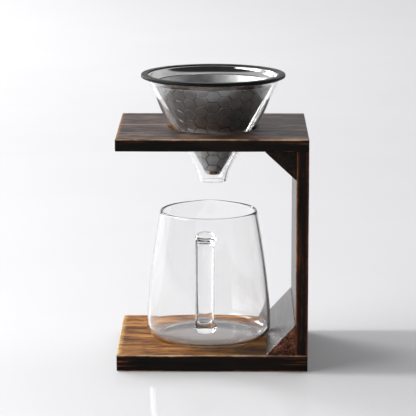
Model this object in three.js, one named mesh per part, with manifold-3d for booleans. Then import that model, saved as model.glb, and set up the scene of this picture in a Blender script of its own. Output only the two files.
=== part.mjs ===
// Pour over coffee set: a C-shaped wooden stand, a glass cone dripper that hangs in its shelf,
// a double-walled metal cone filter in the dripper, and a glass carafe with a glass handle.
//
// Millimetres, +Z up. The origin is the centre of the base board's underside. The upright is on
// the +X side, and the carafe's handle points to the front, -Y.

import * as THREE from 'three';
import { mergeVertices } from 'three/addons/utils/BufferGeometryUtils.js';
import Module from 'manifold-3d';

const wasm = await Module();
wasm.setup();

// ---------------------------------------------------------------- driving dimensions

// stand
const STAND_WIDTH = 168;
const STAND_DEPTH = 147;
const STAND_HEIGHT = 207;
const BASE_THICKNESS = 15;
const SHELF_THICKNESS = 11;
const UPRIGHT_THICKNESS = 11;
const BLOCK_SHORT_LEG = 25;
const BLOCK_LONG_LEG = 27;
const EASED_EDGE = 1;
const BLOCK_TOE = 0.6;

// fixings
const FIXING_PITCH = 50;
const DOWEL_RADIUS = 3;
const DOWEL_CHAMFER = 0.6;
const DOWEL_IN_SHELF = 7;
const DOWEL_IN_UPRIGHT = 15;
const SCREW_RADIUS = 1.75;
const SCREW_HEAD_RADIUS = 3.7;
const SCREW_LENGTH = 36;
const SCREW_HEAD_DEPTH = 0.8;
const SCREW_HEAD_RIM = 0.5;
const HOLE_CLEARANCE = 0.3;

// glass dripper, centred on the shelf hole
const DRIPPER_X = 0.5;
const DRIPPER_WALL = 2.1;
const SEAT_TOP_RADIUS = 41;
const SEAT_BORE_RADIUS = 36.5;
const SEAT_DEPTH = 4.5;

// filter
const FILTER_SLOPE = Math.tan(THREE.MathUtils.degToRad(30));
const FILTER_TOP_Z = 246.4;
const FILTER_TOP_RADIUS = 53.4;
const FILTER_TIP_Z = 164.6;
const OUTER_MESH_WALL = 0.5;
const INNER_MESH_WALL = 0.4;
const MESH_SPACING = 0.9;
const COLLAR_WALL = 0.6;
const RIM_RING_RADIUS = 64.2;
const RIM_RING_INNER_RADIUS = 58;
const RIM_RING_TOP_Z = 254.2;
const RIM_RING_BOTTOM_Z = 251.2;

// carafe
const CARAFE_X = -3.5;
const CARAFE_TURN = -2.2;
const CARAFE_HEIGHT = 116;
const CARAFE_WALL = 2.2;
const CARAFE_FLOOR = 3.4;
const CARAFE_BELLY_RADIUS = 56;
const CARAFE_CORNER_RADIUS = 10.5;
const CARAFE_TAPER = 12.6;
const LIP_REACH = 4.5;
const LIP_HALF_ANGLE = 0.27;

// carafe handle, a glass strap
const HANDLE_WIDTH = 16.5;
const HANDLE_THICKNESS = 9;
const HANDLE_OUT = 73.8;
const HANDLE_TOP_Z = 120;
const HANDLE_FOOT_Z = 35.5;
const HANDLE_BEND_RADIUS = 12;
const GLASS_GAP = 0.3;

const ROUND = 40;
const CARAFE_ROUND = 48;
const SMALL_ROUND = 16;

const UPRIGHT_INNER_X = STAND_WIDTH / 2 - UPRIGHT_THICKNESS;
const UPRIGHT_MIDDLE_X = STAND_WIDTH / 2 - UPRIGHT_THICKNESS / 2;
const SHELF_UNDERSIDE_Z = STAND_HEIGHT - SHELF_THICKNESS;
const FIXING_ROWS = [['front', -FIXING_PITCH], ['middle', 0], ['rear', FIXING_PITCH]];

// ---------------------------------------------------------------- materials

function finish(color, roughness, metalness = 0, opacity = 1) {
  return new THREE.MeshStandardMaterial({
    color, roughness, metalness, opacity, transparent: opacity < 1,
  });
}

const MATERIALS = {
  torchedWood: () => finish(0x3a2a22, 0.55),
  warmWood: () => finish(0x8a5a38, 0.5),
  dowelWood: () => finish(0xc9a678, 0.7),
  steel: () => finish(0xb8b8b6, 0.35, 1),
  polishedSteel: () => finish(0xd0d0ce, 0.12, 1),
  etchedSteel: () => finish(0x6f706f, 0.42, 0.9),
  fineMesh: () => finish(0x8d8e8c, 0.5, 0.8),
  silicone: () => finish(0x141414, 0.45),
  glass: () => finish(0xeef3f3, 0.03, 0, 0.3),
};

// ---------------------------------------------------------------- shape helpers

// Turns a profile of [radius, z] points round the Z axis.
function turned(profile, segments = ROUND) {
  const points = profile.map(([radius, z]) => new THREE.Vector2(radius, z));
  return new THREE.LatheGeometry(points, segments).rotateX(Math.PI / 2);
}

function rod(radius, bottom, top, segments = SMALL_ROUND) {
  return turned([[0, bottom], [radius, bottom], [radius, top], [0, top]], segments);
}

// An arc of [radius, z] points round a centre, angles in degrees from the outward direction.
function arc(centreRadius, centreZ, arcRadius, from, to, steps) {
  const points = [];
  for (let i = 0; i <= steps; i += 1) {
    const angle = THREE.MathUtils.degToRad(from + (to - from) * i / steps);
    points.push([centreRadius + arcRadius * Math.cos(angle), centreZ + arcRadius * Math.sin(angle)]);
  }
  return points;
}

// Moves an outline of [radius, z] points sideways, to its left as it is walked along.
function offset(outline, distance) {
  return outline.map(([radius, z], i) => {
    const [r0, z0] = outline[Math.max(i - 1, 0)];
    const [r1, z1] = outline[Math.min(i + 1, outline.length - 1)];
    const length = Math.hypot(r1 - r0, z1 - z0);
    return [radius - distance * (z1 - z0) / length, z + distance * (r1 - r0) / length];
  });
}

// The half circle that joins the end of an outline to the end of its offset copy.
function roundedEdge(end, otherEnd, steps = 3) {
  const centre = [(end[0] + otherEnd[0]) / 2, (end[1] + otherEnd[1]) / 2];
  const start = THREE.MathUtils.radToDeg(Math.atan2(end[1] - centre[1], end[0] - centre[0]));
  const edgeRadius = Math.hypot(end[0] - centre[0], end[1] - centre[1]);
  return arc(centre[0], centre[1], edgeRadius, start, start + 180, steps).slice(1, -1);
}

// A board with eased edges, given by its lowest corner and its size.
function board([x, y, z], [width, depth, height]) {
  const e = EASED_EDGE;
  const outline = new THREE.Shape([
    new THREE.Vector2(x + e, y + e),
    new THREE.Vector2(x + width - e, y + e),
    new THREE.Vector2(x + width - e, y + depth - e),
    new THREE.Vector2(x + e, y + depth - e),
  ]);
  const geometry = new THREE.ExtrudeGeometry(outline, {
    depth: height - 2 * e, bevelEnabled: true, bevelThickness: e, bevelSize: e, bevelSegments: 1,
  });
  return geometry.translate(0, 0, z + e);
}

// An upright board, eased along its four vertical edges and square at both ends.
function post([x, y, z], [width, depth, height]) {
  const e = EASED_EDGE;
  const outline = new THREE.Shape([
    new THREE.Vector2(x + e, y),
    new THREE.Vector2(x + width - e, y),
    new THREE.Vector2(x + width, y + e),
    new THREE.Vector2(x + width, y + depth - e),
    new THREE.Vector2(x + width - e, y + depth),
    new THREE.Vector2(x + e, y + depth),
    new THREE.Vector2(x, y + depth - e),
    new THREE.Vector2(x, y + e),
  ]);
  return new THREE.ExtrudeGeometry(outline, { depth: height, bevelEnabled: false }).translate(0, 0, z);
}

function solidOf(geometry) {
  const bare = geometry.clone();
  bare.deleteAttribute('normal');
  bare.deleteAttribute('uv');
  const merged = mergeVertices(bare, 1e-4);
  return new wasm.Manifold(new wasm.Mesh({
    numProp: 3,
    vertProperties: new Float32Array(merged.attributes.position.array),
    triVerts: new Uint32Array(merged.index.array),
  }));
}

function cut(geometry, tools) {
  const solid = tools.reduce((rest, tool) => rest.subtract(solidOf(tool)), solidOf(geometry));
  const mesh = solid.getMesh();
  const result = new THREE.BufferGeometry();
  result.setAttribute('position', new THREE.BufferAttribute(new Float32Array(mesh.vertProperties), 3));
  result.setIndex(new THREE.BufferAttribute(new Uint32Array(mesh.triVerts), 1));
  result.computeVertexNormals();
  return result;
}

// ---------------------------------------------------------------- stand

function baseBoard() {
  const blank = board(
    [-STAND_WIDTH / 2, -STAND_DEPTH / 2, 0],
    [STAND_WIDTH, STAND_DEPTH, BASE_THICKNESS],
  );
  const neck = SCREW_RADIUS + HOLE_CLEARANCE;
  const mouth = SCREW_HEAD_RADIUS + HOLE_CLEARANCE;
  const taperBottom = SCREW_HEAD_DEPTH + SCREW_HEAD_RIM;
  const holes = FIXING_ROWS.map(([, y]) => turned([
    [0, -1],
    [mouth, -1],
    [mouth, taperBottom],
    [neck, taperBottom + mouth - neck],
    [neck, BASE_THICKNESS + 1],
    [0, BASE_THICKNESS + 1],
  ], SMALL_ROUND).translate(UPRIGHT_MIDDLE_X, y, 0));
  return cut(blank, holes);
}

function uprightBoard() {
  const blank = post(
    [UPRIGHT_INNER_X, -STAND_DEPTH / 2, BASE_THICKNESS],
    [UPRIGHT_THICKNESS, STAND_DEPTH, SHELF_UNDERSIDE_Z - BASE_THICKNESS],
  );
  const pilotTop = SCREW_HEAD_DEPTH + SCREW_LENGTH + 2;
  const dowelBottom = SHELF_UNDERSIDE_Z - DOWEL_IN_UPRIGHT - 1;
  const holes = FIXING_ROWS.flatMap(([, y]) => [
    rod(SCREW_RADIUS + HOLE_CLEARANCE, BASE_THICKNESS - 1, pilotTop).translate(UPRIGHT_MIDDLE_X, y, 0),
    rod(DOWEL_RADIUS + HOLE_CLEARANCE, dowelBottom, SHELF_UNDERSIDE_Z + 1)
      .translate(UPRIGHT_MIDDLE_X, y, 0),
  ]);
  return cut(blank, holes);
}

// The shelf's hole has a chamfer at the top that the glass dripper rests on.
function shelfBoard() {
  const blank = board(
    [-STAND_WIDTH / 2, -STAND_DEPTH / 2, SHELF_UNDERSIDE_Z],
    [STAND_WIDTH, STAND_DEPTH, SHELF_THICKNESS],
  );
  const seat = turned([
    [0, SHELF_UNDERSIDE_Z - 1],
    [SEAT_BORE_RADIUS, SHELF_UNDERSIDE_Z - 1],
    [SEAT_BORE_RADIUS, STAND_HEIGHT - SEAT_DEPTH],
    [SEAT_TOP_RADIUS, STAND_HEIGHT],
    [SEAT_TOP_RADIUS, STAND_HEIGHT + 1],
    [0, STAND_HEIGHT + 1],
  ]).translate(DRIPPER_X, 0, 0);
  const dowelHoles = FIXING_ROWS.map(([, y]) => rod(
    DOWEL_RADIUS + HOLE_CLEARANCE, SHELF_UNDERSIDE_Z - 1, SHELF_UNDERSIDE_Z + DOWEL_IN_SHELF + 0.5,
  ).translate(UPRIGHT_MIDDLE_X, y, 0));
  return cut(blank, [seat, ...dowelHoles]);
}

// A triangular block that fills an inside corner of the stand over its whole depth. Its run is
// along the board, its rise along the upright, upwards when side is 1 and downwards when -1.
function cornerBlock(cornerZ, side, run, rise) {
  const outline = new THREE.Shape([
    new THREE.Vector2(UPRIGHT_INNER_X, cornerZ),
    new THREE.Vector2(UPRIGHT_INNER_X - run, cornerZ),
    new THREE.Vector2(UPRIGHT_INNER_X - run, cornerZ + side * BLOCK_TOE),
    new THREE.Vector2(UPRIGHT_INNER_X - BLOCK_TOE, cornerZ + side * rise),
    new THREE.Vector2(UPRIGHT_INNER_X, cornerZ + side * rise),
  ]);
  const geometry = new THREE.ExtrudeGeometry(outline, { depth: STAND_DEPTH, bevelEnabled: false });
  return geometry.rotateX(Math.PI / 2).translate(0, STAND_DEPTH / 2, 0);
}

function dowel(y) {
  const e = DOWEL_CHAMFER;
  const bottom = SHELF_UNDERSIDE_Z - DOWEL_IN_UPRIGHT;
  const top = SHELF_UNDERSIDE_Z + DOWEL_IN_SHELF;
  return turned([
    [0, bottom],
    [DOWEL_RADIUS - e, bottom],
    [DOWEL_RADIUS, bottom + e],
    [DOWEL_RADIUS, top - e],
    [DOWEL_RADIUS - e, top],
    [0, top],
  ], SMALL_ROUND).translate(UPRIGHT_MIDDLE_X, y, 0);
}

// A countersunk wood screw, its head sunk in the base board's underside and its point up.
function screw(y) {
  const head = SCREW_HEAD_DEPTH;
  const tip = head + SCREW_LENGTH;
  const rimTop = head + SCREW_HEAD_RIM;
  const recess = [1.6, 1.2];
  const pointLength = 4;
  return turned([
    [0, head + recess[1]],
    [recess[0], head],
    [SCREW_HEAD_RADIUS, head],
    [SCREW_HEAD_RADIUS, rimTop],
    [SCREW_RADIUS, rimTop + SCREW_HEAD_RADIUS - SCREW_RADIUS],
    [SCREW_RADIUS, tip - pointLength],
    [0, tip],
  ], SMALL_ROUND).translate(UPRIGHT_MIDDLE_X, y, 0);
}

// ---------------------------------------------------------------- glass dripper

// A gently bowed cone, open at the top and at the short spout below.
function dripperOutline() {
  const curve = new THREE.SplineCurve([
    new THREE.Vector2(12.4, 158.2),
    new THREE.Vector2(15.0, 167),
    new THREE.Vector2(22.3, 181),
    new THREE.Vector2(37.6, 205),
    new THREE.Vector2(48.0, 225),
    new THREE.Vector2(59.0, 249.8),
  ]);
  return curve.getPoints(10).map((point) => [point.x, point.y]);
}

function glassDripper() {
  const outside = dripperOutline();
  const inside = offset(outside, DRIPPER_WALL).reverse();
  const profile = [
    ...outside,
    ...roundedEdge(outside.at(-1), inside[0]),
    ...inside,
    ...roundedEdge(inside.at(-1), outside[0]),
  ];
  return turned([...profile, profile[0]]);
}

// ---------------------------------------------------------------- filter

function filterRadius(z) {
  return FILTER_TOP_RADIUS - (FILTER_TOP_Z - z) * FILTER_SLOPE;
}

// One conical layer of the filter, whose outside lies `inset` inside the filter's own outline.
function meshCone(inset, wall, topZ) {
  const profile = [
    [filterRadius(FILTER_TIP_Z) - inset, FILTER_TIP_Z],
    [filterRadius(topZ) - inset, topZ],
    [filterRadius(topZ) - inset - wall, topZ],
    [filterRadius(FILTER_TIP_Z) - inset - wall, FILTER_TIP_Z],
  ];
  return turned([...profile, profile[0]]);
}

function outerMesh() {
  return meshCone(0, OUTER_MESH_WALL, FILTER_TOP_Z - 0.3);
}

function innerMesh() {
  return meshCone(OUTER_MESH_WALL + MESH_SPACING, INNER_MESH_WALL, FILTER_TOP_Z - 0.3);
}

// The polished band at the filter's mouth. Its flange sits in the rim ring's groove and its
// lower edge covers the tops of both mesh layers.
function filterCollar() {
  const flangeZ = RIM_RING_BOTTOM_Z + 1.4;
  const flangeRadius = RIM_RING_RADIUS - 2.4;
  const bandTop = [RIM_RING_INNER_RADIUS - 1.1, flangeZ];
  const bandBottom = [FILTER_TOP_RADIUS + 1.5, FILTER_TOP_Z + 1.4];
  const foot = [filterRadius(FILTER_TOP_Z), FILTER_TOP_Z];
  const footInner = foot[0] - OUTER_MESH_WALL - MESH_SPACING - INNER_MESH_WALL;
  const profile = [
    [footInner, FILTER_TOP_Z],
    foot,
    bandBottom,
    bandTop,
    [flangeRadius, flangeZ],
    [flangeRadius, flangeZ + COLLAR_WALL],
    [bandTop[0] - COLLAR_WALL, flangeZ + COLLAR_WALL],
    [bandBottom[0] - COLLAR_WALL, bandBottom[1] + 0.3],
    [footInner, FILTER_TOP_Z + COLLAR_WALL],
  ];
  return turned([...profile, profile[0]]);
}

// A soft ring with a groove on its inside that grips the collar's flange.
function rimRing() {
  const corner = 0.9;
  const grooveBottom = RIM_RING_BOTTOM_Z + 1.1;
  const grooveTop = RIM_RING_BOTTOM_Z + 1.4 + COLLAR_WALL + 0.3;
  const grooveRadius = RIM_RING_RADIUS - 2.1;
  const inner = RIM_RING_INNER_RADIUS;
  const profile = [
    [inner + 0.5, RIM_RING_BOTTOM_Z],
    ...arc(RIM_RING_RADIUS - corner, RIM_RING_BOTTOM_Z + corner, corner, -90, 0, 2),
    ...arc(RIM_RING_RADIUS - corner, RIM_RING_TOP_Z - corner, corner, 0, 90, 2),
    [inner + 0.6, RIM_RING_TOP_Z],
    [inner, RIM_RING_TOP_Z - 0.5],
    [inner, grooveTop],
    [grooveRadius, grooveTop],
    [grooveRadius, grooveBottom],
    [inner, grooveBottom],
    [inner, RIM_RING_BOTTOM_Z + 0.4],
  ];
  return turned([...profile, profile[0]]);
}

// A small dish that closes the bottom of both mesh layers.
function filterBaseCup() {
  const wall = 0.5;
  const lipZ = FILTER_TIP_Z + 3.4;
  const floorZ = FILTER_TIP_Z - 0.3;
  return turned([
    [0, floorZ - wall],
    [filterRadius(floorZ) + wall, floorZ - wall],
    [filterRadius(lipZ) + GLASS_GAP + wall, lipZ],
    [filterRadius(lipZ) + GLASS_GAP, lipZ],
    [filterRadius(floorZ) + GLASS_GAP, floorZ],
    [0, floorZ],
  ], 32);
}

// ---------------------------------------------------------------- carafe

// The carafe's side leans inwards from the belly to the rim, more and more towards the top.
function carafeRadius(z) {
  const bellyZ = BASE_THICKNESS + 13;
  const rise = Math.max(z - bellyZ, 0) / (CARAFE_HEIGHT - 13);
  return CARAFE_BELLY_RADIUS - CARAFE_TAPER * rise ** 1.5;
}

// From the axis under the slightly raised floor, round the bottom corner and up to the rim.
function carafeOutline() {
  const bottom = BASE_THICKNESS;
  const corner = CARAFE_CORNER_RADIUS;
  const top = bottom + CARAFE_HEIGHT - CARAFE_WALL / 2;
  const outline = [[0, bottom + 1.2], [36, bottom + 1]];
  outline.push(...arc(CARAFE_BELLY_RADIUS - corner, bottom + corner, corner, -90, 0, 4));
  const steps = 7;
  for (let i = 1; i <= steps; i += 1) {
    const z = bottom + corner + (top - bottom - corner) * i / steps;
    outline.push([carafeRadius(z), z]);
  }
  return outline;
}

// Draws the rim out into a pouring lip at the back, opposite the handle.
function pullLip(geometry) {
  const position = geometry.attributes.position;
  const rimZ = BASE_THICKNESS + CARAFE_HEIGHT;
  for (let i = 0; i < position.count; i += 1) {
    const x = position.getX(i);
    const y = position.getY(i);
    const radius = Math.hypot(x, y);
    const turn = Math.atan2(x, y) / LIP_HALF_ANGLE;
    const height = THREE.MathUtils.smoothstep(position.getZ(i), rimZ - 22, rimZ + 4);
    const reach = LIP_REACH * height * Math.exp(-turn * turn);
    if (radius > 1) {
      position.setXY(i, x * (1 + reach / radius), y * (1 + reach / radius));
    }
  }
  return geometry;
}

function carafeBody() {
  const outside = carafeOutline();
  const wallStart = 3;
  const inside = offset(outside.slice(wallStart), CARAFE_WALL).reverse();
  const floorZ = BASE_THICKNESS + 1 + CARAFE_FLOOR;
  const innerWall = inside.filter(([, z]) => z > floorZ + 0.5);
  const profile = [
    ...outside,
    ...roundedEdge(outside.at(-1), inside[0]),
    ...innerWall,
    [innerWall.at(-1)[0] - 3, floorZ],
    [0, floorZ],
  ];
  return pullLip(turned(profile, CARAFE_ROUND));
}

// A glass strap that leaves the wall near the rim, turns down and returns near the foot.
function carafeHandle() {
  const bend = HANDLE_BEND_RADIUS;
  const path = new THREE.CurvePath();
  const at = (out, z) => new THREE.Vector3(0, -out, z);
  path.add(new THREE.LineCurve3(at(40, HANDLE_TOP_Z - 1.5), at(HANDLE_OUT - bend, HANDLE_TOP_Z)));
  path.add(new THREE.QuadraticBezierCurve3(
    at(HANDLE_OUT - bend, HANDLE_TOP_Z),
    at(HANDLE_OUT, HANDLE_TOP_Z + 0.6),
    at(HANDLE_OUT, HANDLE_TOP_Z - bend),
  ));
  path.add(new THREE.LineCurve3(
    at(HANDLE_OUT, HANDLE_TOP_Z - bend),
    at(HANDLE_OUT, HANDLE_FOOT_Z + bend + 2),
  ));
  path.add(new THREE.QuadraticBezierCurve3(
    at(HANDLE_OUT, HANDLE_FOOT_Z + bend + 2),
    at(HANDLE_OUT, HANDLE_FOOT_Z),
    at(HANDLE_OUT - bend - 1, HANDLE_FOOT_Z),
  ));
  path.add(new THREE.LineCurve3(at(HANDLE_OUT - bend - 1, HANDLE_FOOT_Z), at(50, HANDLE_FOOT_Z)));
  const section = new THREE.Shape();
  section.absellipse(0, 0, HANDLE_WIDTH / 2, HANDLE_THICKNESS / 2, 0, 2 * Math.PI);
  const strap = new THREE.ExtrudeGeometry(section, {
    extrudePath: path, steps: 34, curveSegments: 8, bevelEnabled: false,
  });
  const wall = carafeOutline().map(([radius, z]) => [radius > 0 ? radius + GLASS_GAP : 0, z]);
  const bodyShape = turned([...wall, [0, BASE_THICKNESS + CARAFE_HEIGHT - CARAFE_WALL / 2]], CARAFE_ROUND);
  return cut(strap, [bodyShape]);
}

// ---------------------------------------------------------------- assembly

const group = new THREE.Group();

function add(parent, name, geometry, material) {
  const mesh = new THREE.Mesh(geometry, material());
  mesh.name = name;
  parent.add(mesh);
}

const stand = new THREE.Group();
add(stand, 'base_board', baseBoard(), MATERIALS.warmWood);
add(stand, 'upright_board', uprightBoard(), MATERIALS.torchedWood);
add(stand, 'shelf_board', shelfBoard(), MATERIALS.torchedWood);
const lowerBlock = cornerBlock(BASE_THICKNESS, 1, BLOCK_SHORT_LEG, BLOCK_LONG_LEG);
const upperBlock = cornerBlock(SHELF_UNDERSIDE_Z, -1, BLOCK_LONG_LEG, BLOCK_SHORT_LEG);
add(stand, 'lower_corner_block', lowerBlock, MATERIALS.torchedWood);
add(stand, 'upper_corner_block', upperBlock, MATERIALS.torchedWood);
for (const [row, y] of FIXING_ROWS) {
  add(stand, `shelf_dowel_${row}`, dowel(y), MATERIALS.dowelWood);
  add(stand, `base_screw_${row}`, screw(y), MATERIALS.steel);
}

const dripper = new THREE.Group();
dripper.position.x = DRIPPER_X;
add(dripper, 'glass_dripper', glassDripper(), MATERIALS.glass);

const filter = new THREE.Group();
filter.position.x = DRIPPER_X;
add(filter, 'filter_rim_ring', rimRing(), MATERIALS.silicone);
add(filter, 'filter_collar', filterCollar(), MATERIALS.polishedSteel);
add(filter, 'filter_outer_mesh', outerMesh(), MATERIALS.etchedSteel);
add(filter, 'filter_inner_mesh', innerMesh(), MATERIALS.fineMesh);
add(filter, 'filter_base_cup', filterBaseCup(), MATERIALS.steel);

// The carafe stands a little off the stand's middle, its handle turned a touch to the left.
const carafe = new THREE.Group();
carafe.position.x = CARAFE_X;
carafe.rotation.z = THREE.MathUtils.degToRad(CARAFE_TURN);
add(carafe, 'carafe_body', carafeBody(), MATERIALS.glass);
add(carafe, 'carafe_handle', carafeHandle(), MATERIALS.glass);

group.add(stand, dripper, filter, carafe);

export default group;
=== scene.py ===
"""Pour over coffee set: the looks of its stand, glass dripper, metal filter and glass carafe.

Everything is in metres in the row frame: +Z up, the upright on the +X side, the front at -Y.
Lengths written in millimetres are multiplied by MM.
"""
import math

import bmesh
import bpy
from mathutils import Matrix, Vector, noise


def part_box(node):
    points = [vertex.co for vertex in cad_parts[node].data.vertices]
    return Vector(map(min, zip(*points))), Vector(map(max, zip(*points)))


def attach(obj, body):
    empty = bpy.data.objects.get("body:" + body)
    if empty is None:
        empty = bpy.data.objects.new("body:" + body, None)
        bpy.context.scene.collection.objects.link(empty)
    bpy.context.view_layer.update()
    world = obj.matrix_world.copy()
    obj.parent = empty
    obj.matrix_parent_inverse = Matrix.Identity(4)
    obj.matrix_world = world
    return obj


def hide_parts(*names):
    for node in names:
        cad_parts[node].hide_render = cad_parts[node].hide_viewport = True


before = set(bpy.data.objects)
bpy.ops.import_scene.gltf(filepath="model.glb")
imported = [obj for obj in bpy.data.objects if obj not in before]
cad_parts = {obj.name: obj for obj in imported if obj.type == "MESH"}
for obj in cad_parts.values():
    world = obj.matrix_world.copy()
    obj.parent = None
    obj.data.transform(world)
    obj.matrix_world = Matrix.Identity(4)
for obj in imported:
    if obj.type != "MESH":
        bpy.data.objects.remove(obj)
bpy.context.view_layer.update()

MM = 0.001

# ---------------------------------------------------------------- the camera

CAMERA_PLACE = Vector((0.0140, -2.0348, 0.5382))
CAMERA_PITCH = 0.19696
CAMERA_YAW = 0.00892
CAMERA_LENS = 199.8


def make_camera():
    data = bpy.data.cameras.new("camera")
    data.lens = CAMERA_LENS
    data.sensor_width = 36
    data.clip_end = 50
    camera = bpy.data.objects.new("camera", data)
    camera.location = CAMERA_PLACE
    camera.rotation_euler = (math.pi / 2 - CAMERA_PITCH, 0, CAMERA_YAW)
    bpy.context.scene.collection.objects.link(camera)
    bpy.context.scene.camera = camera


# ---------------------------------------------------------------- shader graphs

class Graph:
    """A small helper that builds the node tree of a material or a world."""

    def __init__(self, owner, output="ShaderNodeOutputMaterial"):
        self.owner = owner
        owner.use_nodes = True
        self.tree = owner.node_tree
        self.tree.nodes.clear()
        self.output = self.tree.nodes.new(output)

    @classmethod
    def of_material(cls, name):
        return cls(bpy.data.materials.new(name))

    def node(self, kind, values=None, **settings):
        node = self.tree.nodes.new(kind)
        for key, value in settings.items():
            setattr(node, key, value)
        for key, value in (values or {}).items():
            self.feed(node.inputs[key], value)
        return node

    def feed(self, socket, value):
        if isinstance(value, bpy.types.NodeSocket):
            self.tree.links.new(value, socket)
        elif socket.type == "RGBA" and len(value) == 3:
            socket.default_value = (*value, 1)
        else:
            socket.default_value = value

    def math(self, operation, a, b=0.0, c=0.0):
        return self.node("ShaderNodeMath", {0: a, 1: b, 2: c}, operation=operation).outputs[0]

    def times(self, a, b):
        return self.math("MULTIPLY", a, b)

    def plus(self, a, b):
        return self.math("ADD", a, b)

    def minus(self, a, b):
        return self.math("SUBTRACT", a, b)

    def place(self):
        """The point's place in the row frame, in millimetres."""
        position = self.node("ShaderNodeTexCoord").outputs["Object"]
        return self.scaled(position, (1 / MM,) * 3)

    def scaled(self, vector, factors, shift=(0, 0, 0)):
        node = self.node("ShaderNodeMapping", {"Vector": vector, "Scale": factors, "Location": shift})
        return node.outputs[0]

    def noise(self, vector, scale, detail=3.0, rough=0.5, distortion=0.0):
        node = self.node("ShaderNodeTexNoise", {
            "Vector": vector, "Scale": scale, "Detail": detail,
            "Roughness": rough, "Distortion": distortion,
        })
        return node.outputs[0]

    def smooth(self, value, low, high, to_low=0.0, to_high=1.0):
        node = self.node("ShaderNodeMapRange", {
            "Value": value, "From Min": low, "From Max": high, "To Min": to_low, "To Max": to_high,
        }, interpolation_type="SMOOTHSTEP")
        return node.outputs[0]

    def ramp(self, value, stops):
        node = self.node("ShaderNodeValToRGB", {"Fac": value})
        band = node.color_ramp
        band.elements[0].position, band.elements[0].color = stops[0][0], (*stops[0][1], 1)
        band.elements[1].position, band.elements[1].color = stops[-1][0], (*stops[-1][1], 1)
        for place, colour in stops[1:-1]:
            band.elements.new(place).color = (*colour, 1)
        return node.outputs[0]

    def mix(self, factor, a, b):
        node = self.node("ShaderNodeMix", data_type="RGBA")
        self.feed(node.inputs[0], factor)
        self.feed(node.inputs[6], a)
        self.feed(node.inputs[7], b)
        return node.outputs[2]

    def attribute(self, name):
        return self.node("ShaderNodeAttribute", attribute_name=name).outputs["Fac"]

    def split(self, vector):
        return self.node("ShaderNodeSeparateXYZ", {0: vector}).outputs

    def bump(self, height, strength, distance):
        values = {"Height": height, "Strength": strength, "Distance": distance}
        return self.node("ShaderNodeBump", values).outputs[0]

    def finish(self, **values):
        shader = self.node("ShaderNodeBsdfPrincipled")
        for key, value in values.items():
            self.feed(shader.inputs[key.replace("_", " ")], value)
        self.tree.links.new(shader.outputs[0], self.output.inputs[0])
        return self.owner


CHAR_BLACK = (0.0045, 0.0040, 0.0038)
# Brown of the darker spots on the tops: painted shadow mixed with scorch.
SHADE_AND_SCORCH_BROWN = (0.020, 0.011, 0.008)
WORN_RED = (0.150, 0.038, 0.012)
WORN_AMBER = (0.520, 0.200, 0.055)
WORN_TAN = (0.880, 0.640, 0.380)

SIDE_ROUGHNESS = 0.85
RING_PITCH = 3.4        # of the growth rings, in mm
PITH_AWAY = 60.0        # how far outside the board the rings' centre lies, in mm
RUB_REACH = 2.4         # how much further from the edge, in mm, an unworn edge counts

# Dark and light colour of the worn strip and of bare wood.
WORN_STRIP = ((0.40, 0.19, 0.055), (0.78, 0.54, 0.23))
SCUFFED_STRIP = ((0.12, 0.045, 0.018), (0.42, 0.19, 0.065))
BARE_WOOD = ((0.26, 0.085, 0.020), (0.62, 0.28, 0.085))

# Dark, middle and light colour of each kind of wooden face.
# The shelf top's light colour is raised to a pale grey that paints the sheen of the top seen at a low
# angle: partly grain, partly painted sheen.
SMOKED_AND_SHEEN = ((0.008, 0.005, 0.004), (0.072, 0.036, 0.025), (0.250, 0.170, 0.135))
GOLDEN = ((0.070, 0.022, 0.006), (0.300, 0.108, 0.026), (0.600, 0.280, 0.075))
CHARRED = ((0.0022, 0.0020, 0.0020), (0.0060, 0.0040, 0.0034), (0.048, 0.020, 0.011))
RUSSET = ((0.012, 0.005, 0.004), (0.210, 0.075, 0.042), (0.480, 0.210, 0.120))
UMBER = ((0.0024, 0.0020, 0.0019), (0.0140, 0.0068, 0.0045), (0.0950, 0.0340, 0.0130))
SLATE = ((0.014, 0.010, 0.009), (0.045, 0.034, 0.031), (0.115, 0.090, 0.082))


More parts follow.
